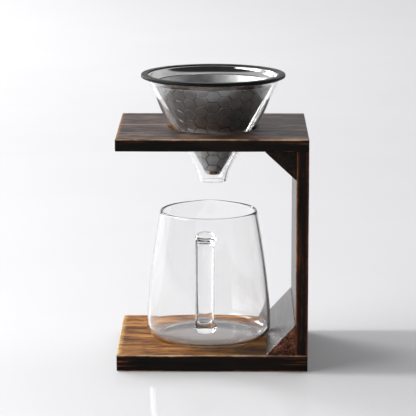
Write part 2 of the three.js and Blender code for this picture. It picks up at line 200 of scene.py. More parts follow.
def torched_wood(
    name, along, seed, open_face, side, gloss, spread=0.085, pale=WORN_STRIP, slant=0,
    show_through=0.8, weights=(0.42, 0.42, 0.16, 0.0), margin=2.2,
):
    """Scorched and oiled softwood with its grain along one axis, 0, 1 or 2.

    open_face and side are the dark, middle and light colour of the open face and of the sides, and
    pale is the worn strip's. gloss is the open face's range of roughness. spread is its contrast:
    smaller is stronger. slant turns the pattern about Y, in radians. show_through is how much
    brown shows at the ends of the grain. weights are the shares of bands, lines, fibres and
    flecks. margin is the width in mm of the red-brown margin along rubbed edges.

    The vertex attributes it reads: "face" is 1 on the open face, "cap" 1 on end grain and "bare" 1
    on uncharred wood; "edge" and "end" are the distances in mm to the nearest edge and to the ends
    of the grain; "rub" says how worn the edge is; "strip" is 1 at the strongest, and so is the
    attribute of the darker spots, which are painted shade mixed with scorch.
    """
    g = Graph.of_material(name)
    place = g.place()
    if slant:
        turned_place = g.node("ShaderNodeMapping", {"Vector": place, "Rotation": (0, slant, 0)})
        place = turned_place.outputs[0]

    def stretched(across, lengthways, shift):
        scale = [across] * 3
        scale[along] = lengthways
        return g.scaled(place, scale, [seed * step for step in shift])

    boards = g.noise(stretched(0.030, 0.004, (5.3, 9.1, 3.7)), 1.0, 2.0, 0.5, 0.5)
    bands = g.noise(stretched(0.17, 0.012, (2.9, 7.7, 1.3)), 1.0, 3.0, 0.62, 0.6)
    lines = g.noise(stretched(0.55, 0.018, (8.1, 4.3, 6.9)), 1.0, 3.0, 0.62, 0.3)
    fibres = g.noise(stretched(1.9, 0.070, (3.1, 1.3, 2.7)), 1.0, 4.0, 0.7)
    mottle = g.noise(stretched(0.55, 0.16, (1.7, 6.1, 4.9)), 1.0, 4.0, 0.7)
    patches = g.noise(stretched(0.05, 0.035, (6.7, 2.3, 8.3)), 1.0, 3.0, 0.6)

    flecks = g.noise(stretched(0.13, 0.045, (4.7, 3.3, 8.9)), 1.0, 4.0, 0.7, 0.4)

    shade = 0.0
    for source, weight in zip((bands, lines, fibres, flecks), weights):
        shade = g.math("MULTIPLY_ADD", source, weight, shade)
    tone = g.smooth(boards, 0.36, 0.66, -0.03, 0.03)
    shade = g.plus(shade, tone)
    dark, middle, light = open_face
    face = g.ramp(shade, [(0.50 - spread, dark), (0.50, middle), (0.50 + spread, light)])
    fine_grain = g.math("MULTIPLY_ADD", flecks, 0.5, g.times(fibres, 0.5))
    grain_lines = g.smooth(fine_grain, 0.42, 0.51, 0.72, 0.0)
    face = g.mix(grain_lines, face, dark)
    dark, middle, light = side
    sides = g.ramp(shade, [(0.44, dark), (0.56, middle), (0.66, light)])

    # Brown shows through the char near the ends of the grain.
    near_end = g.smooth(g.attribute("end"), 0.0, 30.0, show_through, 0.0)
    worn_ends = g.times(near_end, g.smooth(lines, 0.54, 0.64))
    sides = g.mix(worn_ends, sides, WORN_RED)
    amber_ends = g.times(worn_ends, g.smooth(lines, 0.58, 0.68, 0.0, 0.55))
    sides = g.mix(amber_ends, sides, WORN_AMBER)
    colour = g.mix(g.attribute("face"), sides, face)

    # Growth rings on the ends of the grain, arcs round a pith outside the board.
    pith = [math.sin(seed * 3.1) * 40] * 3
    pith[along] = 0.0
    pith[0 if along == 1 else (along + 1) % 3] = PITH_AWAY
    flat = [1.0, 1.0, 1.0]
    flat[along] = 0.0
    arm = g.node("ShaderNodeVectorMath", {0: g.scaled(place, flat, pith)}, operation="LENGTH")
    wobble = g.times(g.noise(place, 0.06, 3.0, 0.5), 9.0)
    ring_place = g.plus(arm.outputs["Value"], wobble)
    rings = g.math("FRACT", g.times(ring_place, 1 / RING_PITCH))
    ring_colour = g.ramp(rings, [
        (0.10, (0.030, 0.016, 0.011)), (0.70, (0.011, 0.007, 0.005)), (0.97, (0.003, 0.003, 0.003)),
    ])
    specks = g.smooth(g.noise(place, 1.3, 3.0, 0.7), 0.42, 0.62)
    ring_colour = g.mix(g.times(specks, 0.6), ring_colour, CHAR_BLACK)
    colour = g.mix(g.attribute("cap"), colour, ring_colour)

    # Darker spots on the open face, drawn out along the grain: painted shadow where the dripper and carafe
    # shade the tops, mixed with darker scorch.
    shaded_and_scorched = g.math("MULTIPLY_ADD", g.minus(bands, 0.5), 1.2, g.attribute("shade_and_scorch"))
    colour = g.mix(g.smooth(shaded_and_scorched, 0.1, 1.0, 0.0, 0.85), colour, SHADE_AND_SCORCH_BROWN)

    # Rubbed edges: a red-brown margin, then amber, then a thin tan line on the very edge.
    edge = g.attribute("edge")
    unworn = g.times(g.minus(1.0, g.attribute("rub")), RUB_REACH)
    ragged = g.times(g.minus(mottle, 0.5), 3.4)
    drift = g.times(g.minus(patches, 0.5), 2.2)
    distance = g.plus(g.minus(g.plus(edge, ragged), drift), unworn)
    colour = g.mix(g.smooth(distance, 0.5, margin, 0.70, 0.0), colour, WORN_RED)
    colour = g.mix(g.smooth(distance, 0.0, margin * 0.55, 0.80, 0.0), colour, WORN_AMBER)
    thin = g.minus(g.math("MULTIPLY_ADD", ragged, 0.25, edge), g.times(drift, 0.4))
    thin = g.plus(thin, unworn)
    gaps = g.math("MULTIPLY_ADD", flecks, 0.6, g.times(patches, 0.4))
    gaps = g.smooth(gaps, 0.40, 0.56)
    tan = g.times(g.smooth(thin, 0.5, 1.4, 0.80, 0.0), g.math("MULTIPLY_ADD", gaps, 0.75, 0.25))
    colour = g.mix(tan, colour, WORN_TAN)

    # The worn strip along one end, and bare wood where the hole was bevelled after charring.
    strip = g.math("MULTIPLY_ADD", g.minus(mottle, 0.5), 0.8, g.attribute("strip"))
    strip_colour = g.ramp(lines, [(0.40, pale[0]), (0.60, pale[1])])
    colour = g.mix(g.smooth(strip, 0.25, 0.80, 0.0, 0.85), colour, strip_colour)
    bare_colour = g.ramp(lines, [(0.40, BARE_WOOD[0]), (0.60, BARE_WOOD[1])])
    bare = g.math("MULTIPLY_ADD", g.minus(mottle, 0.5), 0.7, g.attribute("bare"))
    colour = g.mix(g.smooth(bare, 0.35, 0.75), colour, bare_colour)

    height = g.math("MULTIPLY_ADD", fibres, 0.5, g.times(lines, 0.5))
    rough = g.smooth(g.math("MULTIPLY_ADD", bands, 0.5, fibres), 0.5, 1.0, *gloss)
    rough = g.smooth(g.attribute("face"), 0.0, 1.0, SIDE_ROUGHNESS, rough)
    return g.finish(
        Base_Color=colour,
        Roughness=rough,
        Specular_IOR_Level=0.20,
        Normal=g.bump(height, 0.6, 0.40 * MM),
    )


def plain_wood(name, along):
    """Uncharred hardwood of the dowels."""
    g = Graph.of_material(name)
    squeeze = [1.0, 1.0, 1.0]
    squeeze[along] = 0.06
    fibres = g.noise(g.scaled(g.place(), squeeze), 1.6, 5.0, 0.65)
    colour = g.ramp(fibres, [
        (0.3, (0.42, 0.25, 0.12)), (0.55, (0.60, 0.40, 0.22)), (0.75, (0.70, 0.51, 0.31)),
    ])
    return g.finish(Base_Color=colour, Roughness=0.62, Normal=g.bump(fibres, 0.4, 0.15 * MM))


GLASS_IOR = 1.473
FLOOR_IOR = 1.055       # low, so that the floor mirrors faintly


def clear_glass(name, tint):
    """Borosilicate with hardly visible waves."""
    g = Graph.of_material(name)
    waves = g.noise(g.place(), 0.05, 2.0, 0.5)
    return g.finish(
        Base_Color=tint, Roughness=0.0, IOR=GLASS_IOR, Transmission_Weight=1.0,
        Normal=g.bump(waves, 0.05, 0.4 * MM),
    )


def black_silicone():
    g = Graph.of_material("black_silicone")
    place = g.place()
    haze = g.noise(place, 0.09, 4.0, 0.6)
    grain = g.noise(place, 3.5, 3.0, 0.6)
    colour = g.ramp(haze, [(0.35, (0.003, 0.003, 0.003)), (0.7, (0.007, 0.007, 0.007))])
    rough = g.smooth(haze, 0.3, 0.75, 0.36, 0.50)
    return g.finish(
        Base_Color=colour, Roughness=rough, Specular_IOR_Level=0.12,
        Normal=g.bump(grain, 0.15, 0.06 * MM),
    )


def polished_steel():
    """Rolled stainless sheet with faint vertical polishing lines."""
    g = Graph.of_material("polished_steel")
    place = g.place()
    lines = g.noise(g.scaled(place, (1, 1, 0.04)), 1.4, 4.0, 0.6)
    smears = g.noise(place, 0.06, 3.0, 0.5)
    colour = g.ramp(smears, [(0.3, (0.50, 0.50, 0.49)), (0.7, (0.62, 0.62, 0.61))])
    rough = g.smooth(g.plus(smears, g.times(lines, 0.5)), 0.5, 1.0, 0.07, 0.14)
    return g.finish(
        Base_Color=colour, Metallic=1.0, Roughness=rough, Normal=g.bump(lines, 0.12, 0.05 * MM),
    )


def zinc_steel():
    g = Graph.of_material("zinc_steel")
    place = g.place()
    bloom = g.noise(place, 0.7, 4.0, 0.6)
    colour = g.ramp(bloom, [(0.3, (0.36, 0.37, 0.38)), (0.7, (0.58, 0.58, 0.56))])
    rough = g.smooth(bloom, 0.3, 0.7, 0.25, 0.45)
    return g.finish(Base_Color=colour, Metallic=1.0, Roughness=rough, Normal=g.bump(bloom, 0.2, 0.05 * MM))


def perforated_steel(name, pitch, dark, light, hole_share):
    """Thin sheet with rows of fine holes that follow the cone. "around" and "slant" are places on
    the flattened sheet, in mm."""
    g = Graph.of_material(name)
    around = g.attribute("around")
    slant = g.attribute("slant")
    across_row = g.math("SINE", g.times(around, 2 * math.pi / pitch))
    along_row = g.math("SINE", g.times(slant, 2 * math.pi / pitch))
    weave = g.math("MULTIPLY_ADD", g.times(across_row, along_row), 0.5, 0.5)
    holes = g.smooth(weave, hole_share, hole_share + 0.25)
    place = g.place()
    cloud = g.noise(place, 0.12, 4.0, 0.6)
    colour = g.ramp(cloud, [(0.3, dark), (0.7, light)])
    # The holes are painted near black: painted shade seen through them.
    colour = g.mix(g.times(holes, 0.72), colour, (0.015, 0.015, 0.015))
    # The grooves between the hexagons are painted near black: painted shade in the grooves.
    groove = g.attribute("groove")
    colour = g.mix(g.smooth(groove, 0.25, 0.8, 0.0, 0.70), colour, (0.015, 0.015, 0.015))
    rough = g.smooth(cloud, 0.3, 0.7, 0.40, 0.50)
    height = g.times(holes, -1.0)
    return g.finish(
        Base_Color=colour, Metallic=1.0, Roughness=rough, Normal=g.bump(height, 0.5, 0.12 * MM),
    )


def pale_floor():
    g = Graph.of_material("pale_floor")
    cloud = g.noise(g.place(), 0.004, 2.0, 0.5)
    colour = g.ramp(cloud, [(0.2, (0.80, 0.80, 0.81)), (0.8, (0.83, 0.83, 0.84))])
    return g.finish(Base_Color=colour, Roughness=0.06, IOR=FLOOR_IOR)


# ---------------------------------------------------------------- mesh helpers

def add_object(name, mesh, material, body, slot, *nodes):
    """Links a finished mesh, gives it its material, hangs it under its body and hides the parts it
    replaces.
    """
    piece = bpy.data.objects.new(name, mesh)
    bpy.context.scene.collection.objects.link(piece)
    mesh.materials.clear()
    mesh.materials.append(material)
    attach(piece, body)
    if nodes:
        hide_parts(*nodes)
    return piece


def mesh_from(name, vertices, faces, smooth=True):
    mesh = bpy.data.meshes.new(name)
    mesh.from_pydata([tuple(v) for v in vertices], [], faces)
    if smooth:
        mesh.shade_smooth()
    mesh.update()
    return mesh


def paint(mesh, name, value_of):
    """Stores value_of(point in mm) on every vertex as the attribute called name."""
    layer = mesh.attributes.new(name, "FLOAT", "POINT")
    layer.data.foreach_set("value", [float(value_of(v.co / MM)) for v in mesh.vertices])


def catmull_rom(points, count):
    """count + 1 samples of the smooth curve through points."""
    samples = []
    last = len(points) - 1
    for i in range(count + 1):
        whole = i / count * last
        k = min(int(whole), last - 1)
        t = whole - k
        p0, p1 = points[max(k - 1, 0)], points[k]
        p2, p3 = points[k + 1], points[min(k + 2, last)]
        samples.append(tuple(
            (2 * b - 2 * c + (c - a) * 0.5 + (d - b) * 0.5) * t ** 3
            + (-3 * b + 3 * c - (c - a) - (d - b) * 0.5) * t ** 2
            + (c - a) * 0.5 * t + b
            for a, b, c, d in zip(p0, p1, p2, p3)
        ))
    return samples


def arc(centre, radius, start, end, steps):
    """Points of an arc round centre, angles in degrees."""
    angles = [math.radians(start + (end - start) * i / steps) for i in range(steps + 1)]
    return [(centre[0] + radius * math.cos(a), centre[1] + radius * math.sin(a)) for a in angles]


def offset(outline, distance):
    """The outline moved sideways, to its left as it is walked along."""
    moved = []
    for i, (r, z) in enumerate(outline):
        r0, z0 = outline[max(i - 1, 0)]
        r1, z1 = outline[min(i + 1, len(outline) - 1)]
        length = math.hypot(r1 - r0, z1 - z0)
        moved.append((r - distance * (z1 - z0) / length, z + distance * (r1 - r0) / length))
    return moved


def round_edge(start, end, steps=8):
    """The half circle from start to end, turning left, without its two ends."""
    centre = ((start[0] + end[0]) / 2, (start[1] + end[1]) / 2)
    first = math.degrees(math.atan2(start[1] - centre[1], start[0] - centre[0]))
    radius = math.hypot(start[0] - centre[0], start[1] - centre[1])
    return arc(centre, radius, first, first + 180, steps)[1:-1]


def turned(name, profile, centre_x, segments=192, closed=True):
    """A mesh turned round a vertical axis through (centre_x, 0). profile is a list of (radius, z) in
    mm, closed on itself, or open from axis to axis."""
    vertices = []
    faces = []
    rings = []
    for radius, z in profile:
        if radius < 1e-6:
            rings.append([len(vertices)])
            vertices.append((centre_x, 0, z))
            continue
        rings.append(list(range(len(vertices), len(vertices) + segments)))
        for i in range(segments):
            angle = 2 * math.pi * i / segments
            vertices.append((centre_x + radius * math.cos(angle), radius * math.sin(angle), z))
    pairs = list(zip(rings, rings[1:]))
    if closed:
        pairs.append((rings[-1], rings[0]))
    for low, high in pairs:
        for i in range(segments):
            j = (i + 1) % segments
            corners = [low[i % len(low)], low[j % len(low)], high[j % len(high)], high[i % len(high)]]
            corners = list(dict.fromkeys(corners))
            if len(corners) > 2:
                faces.append(corners)
    return mesh_from(name, [Vector(v) * MM for v in vertices], faces)


def tube_faces(rows, width):
    """Faces of rows of width vertices each, joined into a tube with its first and last row closed."""
    faces = []
    for j in range(rows - 1):
        for k in range(width):
            a, b = j * width + k, j * width + (k + 1) % width
            faces.append([a, b, b + width, a + width])
    faces.append(list(range(width))[::-1])
    faces.append([(rows - 1) * width + k for k in range(width)])
    return faces


def face_outward(mesh, split_ends=False):
    """Turns every face outward, and splits faces of more than four sides into triangles if asked."""
    bm = bmesh.new()
    bm.from_mesh(mesh)
    bmesh.ops.recalc_face_normals(bm, faces=bm.faces)
    if split_ends:
        bmesh.ops.triangulate(bm, faces=[f for f in bm.faces if len(f.verts) > 4])
    bm.to_mesh(mesh)
    bm.free()


def boolean(name, target, tool, operation):
    """The boolean of two meshes, as a new mesh."""
    objects = []
    for mesh in (target, tool):
        scratch = bpy.data.objects.new("scratch", mesh)
        bpy.context.scene.collection.objects.link(scratch)
        objects.append(scratch)
    modifier = objects[0].modifiers.new("boolean", "BOOLEAN")
    modifier.operation = operation
    modifier.solver = "EXACT"
    modifier.object = objects[1]
    bpy.context.view_layer.update()
    evaluated = objects[0].evaluated_get(bpy.context.evaluated_depsgraph_get())
    result = bpy.data.meshes.new_from_object(evaluated)
    result.name = name
    for scratch in objects:
        bpy.data.objects.remove(scratch)
    return result


def sharpen(mesh, degrees):
    """Smooth shading, with edges sharper than the given angle kept crisp."""
    mesh.shade_smooth()
    bm = bmesh.new()
    bm.from_mesh(mesh)
    limit = math.radians(degrees)
    for edge in bm.edges:
        edge.smooth = edge.calc_face_angle(0) < limit
    bm.to_mesh(mesh)
    bm.free()


# ---------------------------------------------------------------- wooden stand

EDGE_RADIUS = 1.25
BARE_TOWARDS = math.radians(215)    # where the bevel of the shelf's hole is barest
RELIEF = 0.10                       # greatest depth of the raised grain
SCREW_NECK = 2.05                   # radius of the screw holes under the countersink
SEAT_TOP = 41.0                     # radius of the shelf's hole at the top of its bevel
SEAT_BORE = 36.5                    # and below the bevel
SEAT_DEPTH = 4.5
SLOPE_STEPS = 26
BLOCK_RUB = 0.42
FAR_FROM_END = 99.0
BLOCK_TOE = 0.6                     # thickness of the corner blocks' thin ends


def stations(low, high, step):
    """Places along one side of a board: close together near its edges, step apart between."""
    near = [0, 0.25, 0.55, 0.9, 1.3, 1.9, 2.8, 4.0]
    inner = (high - low) - 2 * near[-1]
    count = max(1, round(inner / step))
    middle = [low + near[-1] + inner * i / count for i in range(1, count)]
    return [low + n for n in near] + middle + [high - n for n in reversed(near)]


def rounded(point, low, high, radius, keep_ends):
    """Moves a point of a box's surface onto the same box with rounded edges. The edges at both ends
    of the axis keep_ends stay square."""
    core = Vector((min(max(point[i], low[i] + radius), high[i] - radius) for i in range(3)))
    if keep_ends is not None:
        core[keep_ends] = point[keep_ends]
    away = point - core
    reach = max(abs(a) for a in away)
    if reach < 1e-9 or away.length < 1e-9:
        return point
    return core + away.normalized() * radius * (reach / radius)


def board_mesh(name, low, high, along, seed, keep_ends=None):
    """A board between two corners in mm, with worn round edges and raised grain."""
    steps = [1.5, 1.5, 1.5]
    steps[along] = 4.0
    grid = [stations(low[i], high[i], steps[i]) for i in range(3)]
    last = [len(side) - 1 for side in grid]
    index = {}
    vertices = []

    def vertex(key):
        if key not in index:
            index[key] = len(vertices)
            vertices.append(Vector((grid[0][key[0]], grid[1][key[1]], grid[2][key[2]])))
        return index[key]

    faces = []
    for axis in range(3):
        u, v = (axis + 1) % 3, (axis + 2) % 3
        for end in (0, last[axis]):
            for i in range(last[u]):
                for j in range(last[v]):
                    corners = []
                    for di, dj in ((0, 0), (1, 0), (1, 1), (0, 1)):
                        key = [0, 0, 0]
                        key[axis], key[u], key[v] = end, i + di, j + dj
                        corners.append(vertex(tuple(key)))
                    faces.append(corners if end else corners[::-1])

    stretch = Vector([0.012 if i == along else 0.42 for i in range(3)])
    shaped = []
    for point in vertices:
        wear = noise.noise(point * 0.055 + Vector((seed, 0, 0)))
        radius = EDGE_RADIUS * (1 + 0.45 * wear)
        spot = rounded(point, low, high, radius, keep_ends)
        middle = (low + high) / 2
        depth = RELIEF * (0.5 + 0.5 * noise.noise(Vector(a * b for a, b in zip(point, stretch)) * 1.9))
        face = min(range(3), key=lambda i: min(abs(point[i] - low[i]), abs(point[i] - high[i])))
        if face != keep_ends:
            spot[face] += depth if spot[face] < middle[face] else -depth
        shaped.append(spot * MM)
    return mesh_from(name, shaped, faces)


def corners_of(node):
    low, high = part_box(node)
    return low / MM, high / MM


def paint_board(
    mesh, low, high, along, rubs, usual=0.35, open_side=(2, 1), strip=0.0, hidden=(), shadows_and_burns=(),
):
    """Marks the wear and the painted shade on a board. rubs gives the wear of single edges, named by the
    two sides that meet there, such as "-y+z", and usual that of all others. open_side is the (axis, sign)
    of the open face. strip is the width in mm of the worn strip along the top's left end. hidden names
    the axes whose ends butt against another board. The last argument gives (x, y, half width,
    half depth, strength) of the darker spots on top: painted shadow of the dripper and carafe, and darker
    scorch."""
    sides = [(axis, sign) for axis in range(3) if axis not in hidden for sign in (-1, 1)]
    edges = []
    for k, (axis, sign) in enumerate(sides):
        for other, other_sign in sides[k + 1:]:
            if other != axis:
                name = f"{'-+'[sign > 0]}{'xyz'[axis]}{'-+'[other_sign > 0]}{'xyz'[other]}"
                edges.append(((axis, sign), (other, other_sign), rubs.get(name, usual)))

    def gap(p, side):
        axis, sign = side
        return high[axis] - p[axis] if sign > 0 else p[axis] - low[axis]

    def nearest(p):
        return min((max(gap(p, a), gap(p, b)), rub) for a, b, rub in edges)

    found = [nearest(v.co / MM) for v in mesh.vertices]
    for name, index in (("edge", 0), ("rub", 1)):
        layer = mesh.attributes.new(name, "FLOAT", "POINT")
        layer.data.foreach_set("value", [float(pair[index]) for pair in found])

    def is_open(p):
        return gap(p, open_side) < 0.9

    # Painted shade: darker spots where the dripper and carafe shadow the top, mixed with darker scorch.
    def shade_and_scorch(p):
        return sum(
            power * math.exp(-((p.x - x) / wide) ** 2 - ((p.y - y) / deep) ** 2)
            for x, y, wide, deep, power in shadows_and_burns
        )

    def from_end(p):
        return min(p[along] - low[along], high[along] - p[along])

    paint(mesh, "shade_and_scorch", shade_and_scorch)
    paint(mesh, "face", lambda p: 1.0 if is_open(p) else 0.0)
    paint(mesh, "end", from_end)
    paint(mesh, "cap", lambda p: 1.0 if from_end(p) < 0.6 and along not in hidden else 0.0)
    paint(mesh, "strip", lambda p: max(0, 1 - (p.x - low.x) / strip / 2) if strip and is_open(p) else 0)


def base_board():
    low, high = corners_of("base_board")
    mesh = board_mesh("base_board", low, high, 0, 1.0)
    for row in ("front", "middle", "rear"):
        screw_low, screw_high = corners_of(f"base_screw_{row}")
        centre = (screw_low + screw_high) / 2
        head = (screw_high.x - screw_low.x) / 2 + 0.3
        rim = screw_low.z + 0.5
        past = high.z + 5
        profile = [
            (0, -1), (head, -1), (head, rim), (SCREW_NECK, rim + head - SCREW_NECK),
            (SCREW_NECK, past), (0, past),
        ]
        tool = turned("tool", profile, centre.x, 48, closed=False)
        tool.transform(Matrix.Translation((0, centre.y * MM, 0)))
        mesh = boolean("base_board", mesh, tool, "DIFFERENCE")
    sharpen(mesh, 35)
    rubs = {"-y+z": 1.0, "-y-z": 0.85, "-x+z": 0.9, "+y+z": 0.6, "+x-y": 0.6}
    # The large spot at the front right is painted shade, where the carafe shadows the top and the light
    # falls off; the small one at the front left is a darker smudge.
    shadows_and_burns = [(40, -62, 62, 26, 0.75), (-45, -70, 30, 9, 0.35)]
    paint_board(mesh, low, high, 0, rubs, strip=3.4, shadows_and_burns=shadows_and_burns)
    wood = torched_wood("base_wood", 0, 1.0, GOLDEN, CHARRED, (0.60, 0.76), 0.070,
                        weights=(0.27, 0.27, 0.20, 0.26))
    add_object("base_board_wood", mesh, wood, "stand", "base_wood", "base_board")


def shelf_board():
    low, high = corners_of("shelf_board")
    ring_low, ring_high = corners_of("glass_dripper")
    centre_x = (ring_low.x + ring_high.x) / 2
    seat = high.z - SEAT_DEPTH
    mesh = board_mesh("shelf_board", low, high, 0, 4.0)
    profile = [
        (0, low.z - 1), (SEAT_BORE, low.z - 1), (SEAT_BORE, seat - 0.9),
        (SEAT_BORE + 0.12, seat - 0.45), (SEAT_BORE + 0.35, seat + 0.05), (SEAT_BORE + 0.8, seat + 0.8),
        (SEAT_TOP - 0.5, high.z - 0.5), (SEAT_TOP + 0.25, high.z - 0.14),
        (SEAT_TOP + 1.2, high.z + 0.02), (SEAT_TOP + 1.2, high.z + 1), (0, high.z + 1),
    ]
    mesh = boolean("shelf_board", mesh, turned("tool", profile, centre_x, 160, closed=False), "DIFFERENCE")
    sharpen(mesh, 35)

    def bare(p):
        radius = math.hypot(p.x - centre_x, p.y)
        towards = math.atan2(p.y, p.x - centre_x) - BARE_TOWARDS
        share = 0.30 + 0.70 * (0.5 + 0.5 * math.cos(towards)) ** 2
        return share if radius < SEAT_TOP + 0.6 and p.z > seat - 0.2 else 0.0

    rubs = {"-y+z": 0.90, "-y-z": 0.50, "-x+z": 0.7, "+x-y": 0.55}
    # The first two spots are painted shadow of the dripper; the faint third one on the left is a darker
    # patch of char.
    shadows_and_burns = [(12, -62, 34, 16, 0.9), (52, -12, 26, 10, 0.6), (-58, -30, 30, 7, 0.3)]
    paint_board(mesh, low, high, 0, rubs, usual=0.25, strip=2.6, shadows_and_burns=shadows_and_burns)
    paint(mesh, "bare", bare)
    # The shelf top's palette carries painted sheen in its light colour.
    wood = torched_wood("shelf_wood", 0, 4.0, SMOKED_AND_SHEEN, CHARRED, (0.44, 0.56), 0.060, pale=SCUFFED_STRIP,
                        weights=(0.22, 0.26, 0.22, 0.30))
    add_object("shelf_board_wood", mesh, wood, "stand", "torched_wood", "shelf_board")


def upright_board():
    low, high = corners_of("upright_board")
    mesh = board_mesh("upright_board", low, high, 2, 7.0, keep_ends=2)
    rubs = {"-x-y": 0.62, "+x-y": 0.60}
    paint_board(mesh, low, high, 2, rubs, usual=0.25, open_side=(0, -1), hidden=(2,))
    wood = torched_wood("upright_wood", 2, 7.0, SLATE, UMBER, (0.20, 0.32), show_through=0.15,
                        weights=(0.22, 0.30, 0.28, 0.20), margin=4.4)
    add_object("upright_board_wood", mesh, wood, "stand", "torched_wood", "upright_board")


def corner_block(node, side, seed):
    """A triangular block with its grain along Y. side is 1 where it stands on the board below it
    and -1 where it hangs from the board above."""
    low, high = corners_of(node)
    run, rise = high.x - low.x, high.z - low.z
    length = math.hypot(run, rise)
    normal = (-rise / length, side * run / length)
    corner_z = low.z if side > 0 else high.z
    far_z = corner_z + side * rise

    # The outline in x and z: up the thin end, along the slope, and back round the square corner.
    slope_start = (low.x, corner_z + side * BLOCK_TOE)
    slope_end = (high.x - BLOCK_TOE, far_z)
    slope = [
        tuple(a + (b - a) * i / SLOPE_STEPS for a, b in zip(slope_start, slope_end))
        for i in range(SLOPE_STEPS + 1)
    ]
    outline = [(low.x, corner_z)] + slope + [(high.x, far_z), (high.x, corner_z)]
    rows = stations(low.y, high.y, 4.0)
    vertices = []
    for y in rows:
        gap = min(y - low.y, high.y - y, EDGE_RADIUS)
        sink = EDGE_RADIUS - math.sqrt(EDGE_RADIUS ** 2 - (EDGE_RADIUS - gap) ** 2)
        for k, (x, z) in enumerate(outline):
            inward = 0.0
            if 1 <= k <= SLOPE_STEPS + 1:
                grain = noise.noise(Vector((x * 0.9, y * 0.03, z * 0.9 + seed)))
                inward = sink + RELIEF * (0.5 + 0.5 * grain)
            spot_x = min(x - normal[0] * inward, high.x)
            spot_z = z - normal[1] * inward
            spot_z = max(spot_z, corner_z) if side > 0 else min(spot_z, corner_z)
            vertices.append(Vector((spot_x, y, spot_z)) * MM)
    mesh = mesh_from(node, vertices, tube_faces(len(rows), len(outline)))
    face_outward(mesh, split_ends=True)
    sharpen(mesh, 30)

    def off_slope(p):
        return abs((p.x - slope_start[0]) * normal[0] + (p.z - slope_start[1]) * normal[1])

    def on_slope(p):
        return off_slope(p) < 0.5

    def edge_gap(p):
        along_slope = (p.x - low.x) / run * length
        from_front = min(p.y - low.y, high.y - p.y)
        return min(along_slope, length - along_slope, from_front) if on_slope(p) else off_slope(p)

    paint(mesh, "edge", edge_gap)
    paint(mesh, "rub", lambda p: BLOCK_RUB)
    paint(mesh, "end", lambda p: FAR_FROM_END)
    paint(mesh, "face", lambda p: 1.0 if on_slope(p) else 0.0)
    side_tones = RUSSET if side > 0 else UMBER
    turn = side * math.pi / 4
    wood = torched_wood(f"{node}_wood", 1, seed, SLATE, side_tones, (0.10, 0.19), slant=turn)
    add_object(f"{node}_wood", mesh, wood, "stand", "torched_wood", node)


def fluted_dowel(node):
    """A wooden dowel with rounded ends and glue flutes."""
    low, high = corners_of(node)
    centre = (low + high) / 2
    radius = (high.x - low.x) / 2
    chamfer = 0.6
    segments, flutes, depth = 96, 16, 0.18
    levels = [0, chamfer * 0.5, chamfer, *[chamfer + 1 + i for i in range(int(high.z - low.z - 3))]]
    levels += [high.z - low.z - chamfer, high.z - low.z - chamfer * 0.5, high.z - low.z]
    vertices = []
    for level in levels:
        gap = min(level, high.z - low.z - level)
        shrink = chamfer - math.sqrt(max(chamfer ** 2 - (chamfer - gap) ** 2, 0)) if gap < chamfer else 0
        for i in range(segments):
            angle = 2 * math.pi * i / segments
            flute = depth * max(0.0, math.cos(angle * flutes)) ** 4 * min(gap / 2, 1)
            r = radius - shrink - flute
            spot = (centre.x + r * math.cos(angle), centre.y + r * math.sin(angle), low.z + level)
            vertices.append(Vector(spot) * MM)
    mesh = mesh_from(node, vertices, tube_faces(len(levels), segments))
    sharpen(mesh, 40)
    add_object(f"{node}_wood", mesh, MATERIALS["dowel"], "stand", "dowel_wood", node)


def wood_screw(node):
    """A countersunk screw with a cross recess and a cut thread, its point up."""
    low, high = corners_of(node)
    centre = (low + high) / 2
    head_radius = (high.x - low.x) / 2
    core, thread, pitch = 1.25, 0.5, 1.6
    neck = low.z + 0.5 + head_radius - core - thread
    segments = 48
    levels = [low.z, low.z + 0.12, low.z + 0.5, neck]
    count = int((high.z - neck) / (pitch / 12))
    levels += [neck + (high.z - 0.25 - neck) * i / count for i in range(1, count + 1)]
    vertices = []
    for level in levels:
        for i in range(segments):
            turn = i / segments
            if level <= low.z + 0.01:
                r = head_radius - 0.15
            elif level <= low.z + 0.5:
                r = head_radius
            elif level <= neck + 0.01:
                r = core + thread
            else:
                phase = ((level / pitch) - turn) % 1.0
                ridge = max(0.0, 1 - abs(phase - 0.5) / 0.28)
                start = min(1.0, (level - neck) / 8) if level - neck < 8 else 1.0
                shank = core + thread * 0.4 * (1 - start)
                point = min(1.0, (high.z - level) / 5)
                r = (shank + (thread - 0.01) * ridge * start) * point
            angle = 2 * math.pi * turn
            spot = (centre.x + r * math.cos(angle), centre.y + r * math.sin(angle), level)
            vertices.append(Vector(spot) * MM)
    faces = tube_faces(len(levels), segments)
    top = faces.pop()
    tip = len(vertices)
    vertices.append(Vector((centre.x, centre.y, high.z)) * MM)
    faces += [[a, b, tip] for a, b in zip(top, top[1:] + top[:1])]
    mesh = mesh_from(node, vertices, faces)
    for turn in (0, math.pi / 2):
        slot = bmesh.new()
        bmesh.ops.create_cube(slot, size=1)
        shape = Matrix.Diagonal((4.2 * MM, 0.85 * MM, 2.6 * MM, 1))
        bmesh.ops.transform(slot, matrix=shape, verts=slot.verts)
        for vert in slot.verts:
            if vert.co.z > 0:
                vert.co.x *= 0.35
                vert.co.y *= 0.5
        bmesh.ops.rotate(slot, matrix=Matrix.Rotation(turn, 3, "Z"), verts=slot.verts)
        place = Vector((centre.x, centre.y, low.z)) * MM
        bmesh.ops.translate(slot, vec=place, verts=slot.verts)
        tool = bpy.data.meshes.new("tool")
        slot.to_mesh(tool)
        slot.free()
        mesh = boolean(node, mesh, tool, "DIFFERENCE")
    sharpen(mesh, 40)
    add_object(f"{node}_steel", mesh, MATERIALS["zinc"], "stand", "screw_steel", node)


# ---------------------------------------------------------------- glass dripper

DRIPPER_WALL = 2.1
DRIPPER_OUTLINE = [(12.4, 158.2), (15.0, 167.0), (22.3, 181.0), (37.6, 205.0), (48.0, 225.0), (59.0, 249.8)]


